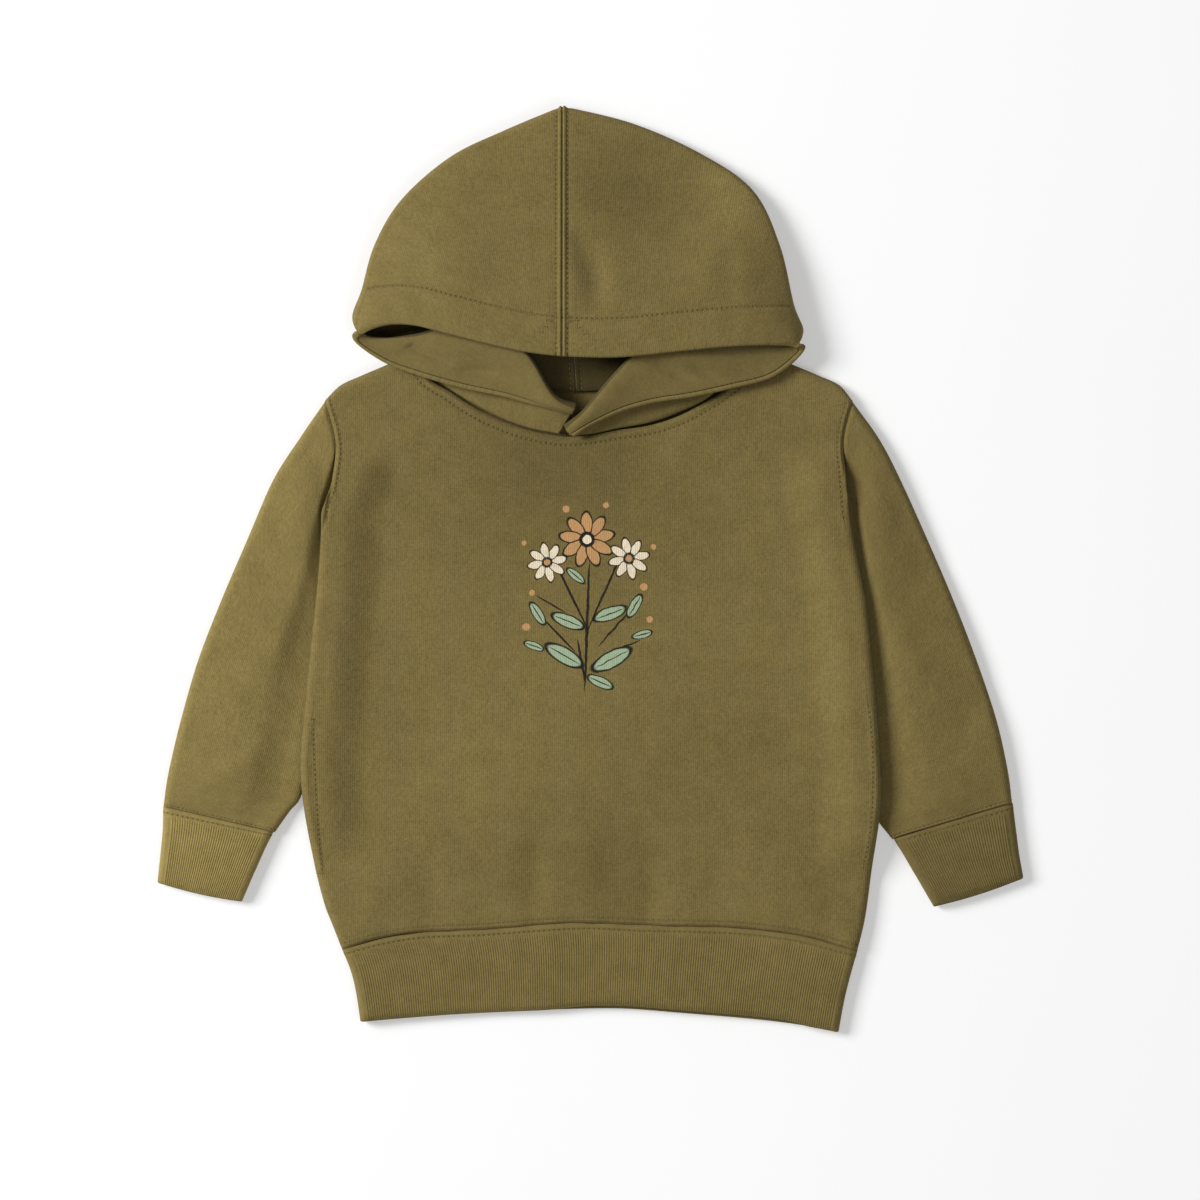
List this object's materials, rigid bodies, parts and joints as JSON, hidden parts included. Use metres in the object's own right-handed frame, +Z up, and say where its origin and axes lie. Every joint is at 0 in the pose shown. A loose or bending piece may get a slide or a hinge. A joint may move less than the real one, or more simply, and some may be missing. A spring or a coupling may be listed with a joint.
{
  "type": "toddler hoodie",
  "caption": "Toddler pull-over hoodie laid out flat on its back, with a lined hood folded over, set-in sleeves, ribbed cuffs and waistband and side-seam pockets.",
  "frame": {"origin": "on the table, under the middle of the laid garment's bounding box", "axes": "+X to the right and +Y toward the hood, as seen from above; +Z up from the table"},
  "size_m": [0.5015, 0.536, 0.0261],
  "materials": {
    "fleece": "olive brushed fleece knit, matt",
    "rib": "olive 1x1 rib knit, matt",
    "lining": "olive jersey, matt"
  },
  "bodies": {
    "root": {"body_front": "fleece", "body_back": "fleece", "sleeve_left": "fleece", "sleeve_right": "fleece", "hood_left": "fleece", "hood_right": "fleece", "waistband": "rib", "cuff_left": "rib", "cuff_right": "rib", "hood_lining_left": "lining", "hood_lining_right": "lining", "pocket_left_front": "lining", "pocket_left_back": "lining", "pocket_right_front": "lining", "pocket_right_back": "lining"}
  },
  "joints": []
}
